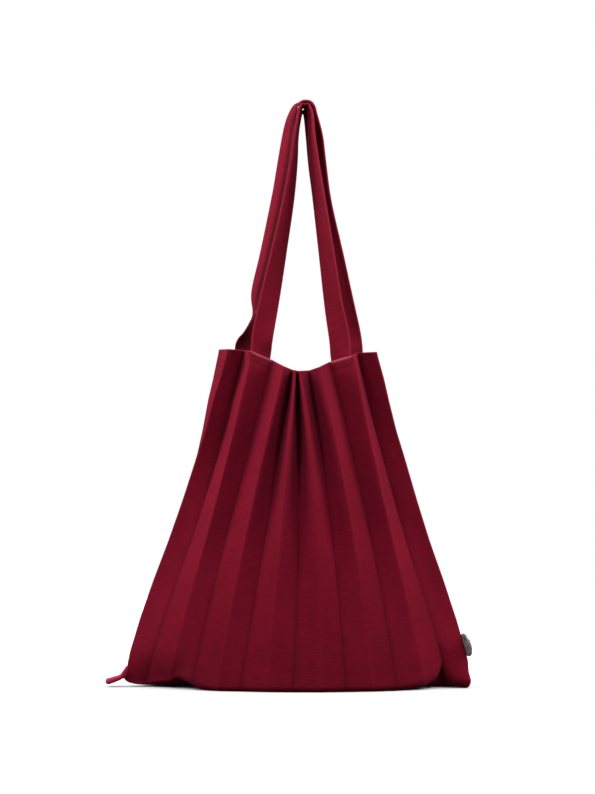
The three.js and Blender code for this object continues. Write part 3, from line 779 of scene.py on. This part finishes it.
def strap_foot(fold, start, handed):
    """Two rows of a table, at the rim and FOOT_LENGTH below it: the middle of the facet that
    follows a fold, moved inwards past the wall and aside, with the width along the facet."""
    level = np.array([0, FOOT_LENGTH / (RIM_SIDE_Z - BASE_Z)])
    first, second = np.moveaxis(fold_ring(level)[:, [fold, fold + 1]], 1, 0)
    along = unit((second - first) * (1, 1, 0))
    inward = np.stack([-along[:, 1], along[:, 0], np.zeros(2)], axis=1)
    middle = (first + second) / 2 + inward * (WALL / 2 + FOOT_GAP + STRAP_THICK / 2)
    middle += along * FOOT_ASIDE[fold] * (1 if is_ridge[fold] else -1)
    width = handed * along
    turn = np.degrees(np.arctan2(-width[:, 1], start * width[:, 0]))
    return np.column_stack([middle / MM, turn])


def strap_rows(table, left_fold, right_fold, start):
    """A strap's whole table, with a foot at both ends and the turns running on unbroken."""
    left, right = strap_foot(left_fold, start, 1)[::-1], strap_foot(right_fold, start, -1)
    whole = np.concatenate([left, table, right])
    whole[:, 3] = np.unwrap(whole[:, 3], period=360)
    return whole


def smooth_rows(table, steps):
    """Rows between a table's rows on a smooth curve through them.

    Each span is a cubic from row to row. Its slope at a row weighs the steps before and
    after it by the square roots of their lengths, so that close rows bend without overshoot.
    """
    rows = np.concatenate([[2 * table[0] - table[1]], table, [2 * table[-1] - table[-2]]])
    gap = np.sqrt(np.linalg.norm(np.diff(rows[:, :3], axis=0), axis=1))[:, None]
    rate = np.diff(rows, axis=0) / gap
    wide = (rows[2:] - rows[:-2]) / (gap[:-1] + gap[1:])
    slope = rate[:-1] - wide + rate[1:]
    t = (np.arange(steps) / steps)[:, None, None]
    start, end = rows[1:-2], rows[2:-1]
    leave, arrive = slope[:-1] * gap[1:-1], slope[1:] * gap[1:-1]
    spans = (
        start * (1 + 2 * t) * (1 - t) ** 2
        + leave * t * (1 - t) ** 2
        + end * t**2 * (3 - 2 * t)
        + arrive * t**2 * (t - 1)
    )
    return np.concatenate([spans.swapaxes(0, 1).reshape(-1, table.shape[1]), table[-1:]])


BAND_FLAT_POINTS = 11
BAND_EDGE_POINTS = 7
BAND_HOLLOW = 0.14  # of the half thickness, at the middle of the width


def band_profile(half_width, half_thick):
    """A flat band's section: two flat sides joined by half-round edges, anticlockwise.
    The sides are a little hollow, so the edges stand as soft rolls."""
    flat = np.linspace(1, -1, BAND_FLAT_POINTS)
    turn = np.radians(np.linspace(90, 270, BAND_EDGE_POINTS)[1:-1])
    straight = half_width - half_thick
    hollow = half_thick * (1 - BAND_HOLLOW + BAND_HOLLOW * flat**4)
    left = np.stack([-straight + half_thick * np.cos(turn), half_thick * np.sin(turn)], axis=1)
    top = np.stack([straight * flat, hollow], axis=1)
    return np.concatenate([top, left, -top, -left])


def carried(profile, middle, width, face):
    """A profile carried along a path: middle + across * width + up * face at each section."""
    return (
        middle[:, None]
        + profile[..., :1] * width[:, None]
        + profile[..., 1:] * face[:, None]
    )


def with_poles(points):
    """The grid with a closing point at both ends, and the weld that makes each end one point."""
    rows, columns = points.shape[:2]
    ends = points[[0, -1]].mean(axis=1, keepdims=True).repeat(columns, axis=1)
    closed = np.concatenate([ends[:1], points, ends[1:]])
    weld = np.arange(closed.shape[0] * columns).reshape(-1, columns)
    weld[[0, -1]] = weld[[0, -1]][:, :1]
    return closed, weld


def tube_uv(points):
    """Place on the flat cloth of a carried profile: along its outline and along its path."""
    ring = np.concatenate([points, points[:, :1]], axis=1)
    around = np.linalg.norm(np.diff(ring[len(ring) // 2], axis=0), axis=-1)
    around = np.concatenate([[0], np.cumsum(around)])
    middle = points.mean(axis=1)
    along = np.concatenate([[0], np.cumsum(np.linalg.norm(np.diff(middle, axis=0), axis=-1))])
    return np.stack(np.broadcast_arrays(around[None], along[:, None]), axis=-1)


STRAP_HIGHLIGHT_WIDTH = 0.9 * MM  # width of the painted highlight along each edge
SHADE_LESS_ON_RIGHT = 0.9  # how much less of the reverse's painted shade there is on the right
CUP_BELOW = (20 * MM, 80 * MM)  # distance under the top where the cup begins and is whole
CUP_ABOVE_FOOT = 25 * MM  # a foot is flat, and the cup is whole this far above it


def strap_piece(name, table, start, cup, curl):
    """A strap: the band profile carried along the table's curve, its width turned by the turn.
    Between the top and the feet both edges bend back by cup times the square of the share
    of the half width. Painted shade darkens the reverse face and a band curl wide along
    one edge, with less of it towards the right."""
    rows = smooth_rows(table, STRAP_STEPS)
    middle = rows[:, :3] * MM
    turn = np.radians(rows[:, 3])
    tangent = unit(np.gradient(middle, axis=0))
    width = np.stack([start * np.cos(turn), -np.sin(turn), np.zeros(len(turn))], axis=1)
    width = unit(width - tangent * np.sum(width * tangent, axis=1, keepdims=True))
    face = np.cross(width, tangent)
    profile = band_profile(STRAP_WIDTH / 2, STRAP_THICK / 2)
    under_top = np.clip((-middle[:, 2] - CUP_BELOW[0]) / (CUP_BELOW[1] - CUP_BELOW[0]), 0, 1)
    over_foot = np.clip((middle[:, 2] - RIM_SIDE_Z) / CUP_ABOVE_FOOT, 0, 1)
    bend = np.where(middle[:, 0] < 0, *cup) * under_top * over_foot
    bent = bend[:, None] * (2 * profile[:, 0] / STRAP_WIDTH) ** 2
    across = np.broadcast_to(profile[:, 0], bent.shape)
    section = np.stack([across, profile[:, 1] - bent], axis=-1)
    points, weld = with_poles(carried(section, middle, width, face))
    # Painted shade: the reverse face and a band along one edge, less of it towards the right.
    reverse_shade = (1 - profile[:, 1] / (STRAP_THICK / 2)) / 2
    shade_band_share = (profile[:, 0] - STRAP_WIDTH / 2 + curl) / SHADE_BAND_BLEND
    reverse_shade = np.maximum(reverse_shade, np.clip(shade_band_share, 0, 1))
    to_right = np.clip(middle[:, 0] / STRAP_WIDTH + 0.5, 0, 1)
    shade_left_to_right = np.pad(1 - SHADE_LESS_ON_RIGHT * to_right, 1, mode="edge")
    # Painted highlight along each rolled edge of the strap.
    edge = np.exp(-(((STRAP_WIDTH / 2 - np.abs(profile[:, 0])) / STRAP_HIGHLIGHT_WIDTH) ** 2))
    marks = {"reverse_shade": shade_left_to_right[:, None] * reverse_shade, "edge": edge}
    marks = {mark: np.broadcast_to(value, weld.shape) for mark, value in marks.items()}
    return surface_piece(name, points, tube_uv(points), weld, **marks)


STRAP_RED = (0.2, 0.0043, 0.0182)
STRAP_PAINTED_SHADE = (0.03, 0.0005, 0.003, 1)
STRAP_SHADE_SHARE = 0.7  # share of the painted shade on the knit's reverse face
EDGE_HIGHLIGHT_SHARE = 0.5
EDGE_PAINTED_HIGHLIGHT = (0.36, 0.02, 0.05, 1)
STRAP_WALE = 0.9 * MM
STRAP_COURSE = 0.75 * MM
strap_knit, tree, shader, yarn = knit_material(
    "strap_knit", STRAP_RED, STRAP_WALE, STRAP_COURSE
)
# Painted shade on the reverse face and along one edge of the back strap.
yarn = add_mix(tree, add_mark(tree, "reverse_shade", STRAP_SHADE_SHARE), yarn, STRAP_PAINTED_SHADE)
# Painted highlight along the strap's edges.
yarn = add_mix(tree, add_mark(tree, "edge", EDGE_HIGHLIGHT_SHARE), yarn, EDGE_PAINTED_HIGHLIGHT)
tree.links.new(yarn, shader.inputs["Base Color"])

front_left, front_right, back_right, back_left = STRAP_FACETS
front_rows = strap_rows(FRONT_STRAP, front_left, front_right, 1)
back_rows = strap_rows(BACK_STRAP, back_left, back_right, -1)
front_strap = strap_piece("front_strap", front_rows, 1, (0, 0), 0)
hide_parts("front_handle")
back_strap = strap_piece("back_strap", back_rows, -1, BACK_CUP, BACK_SHADE_BAND)
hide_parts("back_handle")
STRAP_LENGTHS = {front_strap: 0.57, back_strap: 0.58}
for strap, length in STRAP_LENGTHS.items():
    strap.data.materials.append(strap_knit)


# Foot stitches. A row of short stitches in wine-red thread crosses each of the four facets
# that carry a handle's foot. It lies in the crease that it draws under the rim.

STITCH_LENGTH = 2.3 * MM
STITCH_PITCH = 3.2 * MM
STITCHES = 7  # across one foot
STITCH_POINTS = 7
STITCH_RISE = 0.35 * MM
THREAD_RADIUS = 0.35 * MM
THREAD_SIDES = 8


def line_under_rim(face, down):
    """The line on a face of the cloth at a knitted distance under the rim, a point a column."""
    column = np.arange(COLUMNS)
    below = (knit_down < down).sum(axis=0)
    over, under = knit_down[below - 1, column], knit_down[below, column]
    share = ((down - over) / (under - over))[:, None]
    return face[below - 1, column] * (1 - share) + face[below, column] * share


def thread_piece(name, middle, up, radius):
    """Short threads in one mesh: a round section carried along each path and closed at both
    ends. middle is threads by points, and up points away from what the thread lies on."""
    tangent = unit(np.gradient(middle, axis=1))
    aside = unit(np.cross(tangent, up))
    spin = 2 * np.pi * np.arange(THREAD_SIDES) / THREAD_SIDES
    across, over = radius * np.cos(spin)[:, None], radius * np.sin(spin)[:, None]
    rings = (
        middle[:, :, None]
        + across * aside[:, :, None]
        + over * np.cross(aside, tangent)[:, :, None]
    )
    ends = middle[:, [0, -1], None].repeat(THREAD_SIDES, axis=2)
    rings = np.concatenate([ends[:, :1], rings, ends[:, 1:]], axis=1)
    weld = np.arange(rings[..., 0].size).reshape(rings.shape[:3])
    weld[:, [0, -1]] = weld[:, [0, -1], :1]
    grid = rings.reshape(-1, THREAD_SIDES, 3)
    return surface_piece(name, grid, tube_uv(grid), weld.reshape(-1, THREAD_SIDES))


crease_line = line_under_rim(outer_face, CREASE_DOWN)
crease_out = line_under_rim(normals, CREASE_DOWN)
stitch_middle = (np.arange(STITCHES) - (STITCHES - 1) / 2) * STITCH_PITCH
stitch_run = np.linspace(-0.5, 0.5, STITCH_POINTS) * STITCH_LENGTH
in_facet = 0.5 + (stitch_middle[:, None] + stitch_run) / FACET
stitch_place = (np.array(STRAP_FACETS)[:, None, None] + in_facet).reshape(-1, STITCH_POINTS)


def along_crease(values):
    """Values of the crease's columns at the places of the stitches."""
    parts = [np.interp(stitch_place, facet_place[0], values[:, axis]) for axis in range(3)]
    return np.stack(parts, axis=-1)


stitch_out = unit(along_crease(crease_out))
arc = STITCH_RISE * np.cos(np.pi * stitch_run / STITCH_LENGTH)[:, None]
strap_stitches = thread_piece(
    "strap_stitches", along_crease(crease_line) + stitch_out * arc, stitch_out, THREAD_RADIUS
)

THREAD_RED = (0.2, 0.006, 0.024, 1)
THREAD_SHADE = (0.07, 0.001, 0.006, 1)
THREAD_FINISH = {"Roughness": 0.6, "Specular IOR Level": 0.25}
PLY_LENGTH = 1.1 * MM
PLY_BUMP = 0.7
PLY_LIFT = 0.15 * MM
sewing_thread, tree, shader = new_material("sewing_thread", THREAD_FINISH)
place = add_node(tree, "ShaderNodeUVMap", uv_map="cloth").outputs["UV"]
place = add_node(tree, "ShaderNodeSeparateXYZ", {0: place}).outputs
around = add_math(tree, "DIVIDE", place["X"], 2 * np.pi * THREAD_RADIUS)
twist = add_math(tree, "ADD", add_math(tree, "DIVIDE", place["Y"], PLY_LENGTH), around)
ply = add_math(tree, "SINE", add_math(tree, "MULTIPLY", twist, 2 * np.pi))
ply = add_math(tree, "ADD", add_math(tree, "MULTIPLY", ply, 0.5), 0.5)
tree.links.new(add_mix(tree, ply, THREAD_SHADE, THREAD_RED), shader.inputs["Base Color"])
ply_bump = add_node(
    tree, "ShaderNodeBump", {"Height": ply, "Strength": PLY_BUMP, "Distance": PLY_LIFT}
)
tree.links.new(ply_bump.outputs[0], shader.inputs["Normal"])
strap_stitches.data.materials.append(sewing_thread)


# Button loop. A narrow knitted tube at the left bottom corner, doubled into a loop and
# caught flat in the side seam at both ends.

LOOP_Z = -563 * MM  # height of its middle on the left seam
CORD_SIDES = 16
LOOP_STEPS = 8
# From the upper end to the lower end. Columns: out from the seam, aside, up, and the
# section's half thickness aside and half height, in mm.
LOOP_PATH = np.array([
    (-1.6, -0.9, 0.3, 1, 6.8),
    (1, -1.5, -1.3, 1.5, 6),
    (3, -2.2, -3.4, 2, 4.6),
    (5.5, -2.9, -5.8, 2.5, 3.3),
    (9, -3.3, -7.2, 2.7, 3.2),
    (12.5, -3.3, -8.2, 2.7, 3.4),
    (15.6, -2.5, -9.4, 2.7, 3.3),
    (17.4, 0, -10.1, 2.7, 3.2),
    (15.6, 2.5, -10, 2.7, 3.3),
    (12.5, 3.3, -9, 2.7, 3.4),
    (9, 3.3, -7.9, 2.7, 3.2),
    (5.5, 2.9, -6.1, 2.5, 3.3),
    (3, 2.2, -3.6, 2, 4.6),
    (1, 1.5, -1.4, 1.5, 6),
    (-1.6, 0.9, 0.2, 1, 6.8),
])
LEAN_SPAN = 6 * MM  # above and below a height, for measuring the seam's lean


def seam_at(fold, z):
    """Point of the outer face on a side seam at a height, and the seam's lean off upright."""
    line = outer_face[:, fold * FOLD_POINTS + FOLD_POINTS // 2]
    place = np.array([np.interp(-z, -line[:, 2], line[:, axis]) for axis in range(3)])
    rise = np.interp([-z - LEAN_SPAN, -z + LEAN_SPAN], -line[:, 2], line[:, 0])
    return place, np.arctan2(rise[1] - rise[0], 2 * LEAN_SPAN)


loop_seat, _ = seam_at(0, LOOP_Z)
rows = smooth_rows(LOOP_PATH, LOOP_STEPS)
loop_middle = loop_seat + rows[:, :3] * (-MM, MM, MM)
loop_tangent = unit(np.gradient(loop_middle, axis=0))
LOOP_UP = (0.2, 0, 0.98)  # the sections stand along the seam
loop_face = np.broadcast_to(LOOP_UP, loop_tangent.shape)
loop_aside = unit(np.cross(loop_tangent, loop_face))
spin = 2 * np.pi * np.arange(CORD_SIDES) / CORD_SIDES
section = np.stack([np.cos(spin), np.sin(spin)], axis=1)[None] * rows[:, None, 3:] * MM
loop_points, loop_weld = with_poles(carried(section, loop_middle, loop_aside, loop_face))
loop_cord = surface_piece("loop_cord", loop_points, tube_uv(loop_points), loop_weld)
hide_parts("button_loop")

LOOP_RED = (0.49, 0.03, 0.082)
LOOP_WALE = 0.9 * MM
LOOP_COURSE = 0.75 * MM
loop_knit, tree, shader, yarn = knit_material(
    "loop_knit", LOOP_RED, LOOP_WALE, LOOP_COURSE
)
tree.links.new(yarn, shader.inputs["Base Color"])
loop_cord.data.materials.append(loop_knit)


# Button. A polished four-hole button of mottled grey horn, sewn near the bottom of the
# right side so that the loop can reach it when the bag is rolled up.

BUTTON_Z = -536.7 * MM  # height of its middle on the right seam
BUTTON_TURN = np.radians(18)  # of its face to the back
button_seat, seam_lean = seam_at(FRONT_COUNT - 1, BUTTON_Z)
BUTTON_ACROSS = np.array((np.sin(seam_lean), 0, -np.cos(seam_lean)))
seam_out = np.array((np.cos(seam_lean), 0, np.sin(seam_lean)))
BUTTON_OUT = seam_out * np.cos(BUTTON_TURN) + np.array((0, 1, 0)) * np.sin(BUTTON_TURN)
BUTTON_ASIDE = np.array((0, 1, 0)) * np.cos(BUTTON_TURN) - seam_out * np.sin(BUTTON_TURN)
BUTTON_BACK = 0.9 * MM  # from the seam to the button's back
BUTTON_FLATTER = 0.75  # against the section's heights
BUTTON_RADIUS = 12 * MM
BUTTON_SIDES = 96
BUTTON_STEPS = 3  # between two rows of the section
HOLE_RADIUS = 1.2 * MM
HOLE_PITCH = 1.9 * MM
HOLE_DEPTH = 1.7 * MM
HOLE_EDGE = 0.25 * MM
# Section from the back's middle round the rim to the dished face's middle. Columns:
# share of the radius, height in mm.
BUTTON_PROFILE = np.array([
    (0, 0), (0.3, 0), (0.6, 0), (0.84, 0), (0.92, 0.25), (0.965, 0.8), (0.995, 1.5),
    (1, 2.1), (0.985, 2.9), (0.955, 3.5), (0.91, 4), (0.86, 4.2), (0.8, 4.2), (0.74, 4.05),
    (0.68, 3.65), (0.62, 3.25), (0.56, 3), (0.5, 2.9),
])
FACE_RINGS = 44  # fine rings over the face's middle, where the holes are


def on_button(x, y, height):
    """Places given in the button's own directions, as points of the bag."""
    return (
        button_seat
        + x[..., None] * BUTTON_ACROSS
        + y[..., None] * BUTTON_ASIDE
        + height[..., None] * BUTTON_OUT
    )


profile = BUTTON_PROFILE * (BUTTON_RADIUS, BUTTON_FLATTER * MM)
profile = smooth_rows(np.pad(profile, ((0, 0), (0, 1))), BUTTON_STEPS)[:, :2]
dish = np.linspace(profile[-1, 0], 0, FACE_RINGS + 1)[1:]
radius = np.concatenate([profile[:, 0], dish])[:, None]
height = np.concatenate([profile[:, 1], np.full(FACE_RINGS, profile[-1, 1])])[:, None]
spin = 2 * np.pi * np.arange(BUTTON_SIDES) / BUTTON_SIDES
button_x, button_y = radius * np.cos(spin), radius * np.sin(spin)
to_hole = np.hypot(np.abs(button_x) - HOLE_PITCH, np.abs(button_y) - HOLE_PITCH)
pit = np.clip((HOLE_RADIUS + HOLE_EDGE - to_hole) / HOLE_EDGE, 0, 1)
pit[: len(profile)] = 0
height = height + BUTTON_BACK - HOLE_DEPTH * pit**2 * (3 - 2 * pit)
button_points = on_button(button_x, button_y, height)
button_weld = np.arange(button_points.shape[0] * BUTTON_SIDES).reshape(-1, BUTTON_SIDES)
button_weld[[0, -1]] = button_weld[[0, -1]][:, :1]
horn_button = surface_piece(
    "horn_button", button_points[:, ::-1], tube_uv(button_points), button_weld
)
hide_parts("button")

HORN_DARK = (0.05, 0.048, 0.048, 1)
HORN_MID = (0.31, 0.28, 0.28, 1)
HORN_LIGHT = (0.6, 0.56, 0.55, 1)
HORN_STOPS = (0.36, 0.5, 0.68)  # of the cloud noise, for the three colours
HORN_CLOUDS = {"Scale": 160.0, "Detail": 5.0, "Distortion": 1.2}
HORN_POLISH = (0.22, 0.4)  # roughness of the dark and of the light places
HORN_FINISH = {"Coat Weight": 0.4, "Coat Roughness": 0.12}
horn, tree, shader = new_material("mottled_horn", HORN_FINISH)
spot = add_node(tree, "ShaderNodeTexCoord").outputs["Object"]
cloud = add_node(tree, "ShaderNodeTexNoise", {"Vector": spot, **HORN_CLOUDS}).outputs["Fac"]
mottle = add_node(tree, "ShaderNodeValToRGB", {"Fac": cloud})
stops = mottle.color_ramp.elements
stops[0].position, stops[0].color = HORN_STOPS[0], HORN_DARK
stops[1].position, stops[1].color = HORN_STOPS[2], HORN_LIGHT
stops.new(HORN_STOPS[1]).color = HORN_MID
tree.links.new(mottle.outputs["Color"], shader.inputs["Base Color"])
tree.links.new(add_range(tree, cloud, (0, 1), HORN_POLISH), shader.inputs["Roughness"])
horn_button.data.materials.append(horn)

# Two crossings of thread between the holes, one over the other, that dip into the holes.
CROSS_RISE = 0.5 * MM
CROSS_RADIUS = 0.6 * MM
CROSS_POINTS = 9
CROSS_DIP_POWER = 6  # flat over the face, and steep into a hole
CROSS_OVER = 0.6 * CROSS_RADIUS
face_height = BUTTON_BACK + profile[-1, 1]
run = np.linspace(-1, 1, CROSS_POINTS)
reach = HOLE_PITCH * run
under = face_height + CROSS_RISE - (CROSS_RISE + HOLE_DEPTH) * run**CROSS_DIP_POWER
over = under + CROSS_OVER * (1 - run**2)
crossings = np.stack([on_button(reach, reach, under), on_button(reach, -reach, over)])
button_stitches = thread_piece("button_stitches", crossings, BUTTON_OUT, CROSS_RADIUS)
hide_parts("button_thread")
button_stitches.data.materials.append(sewing_thread)
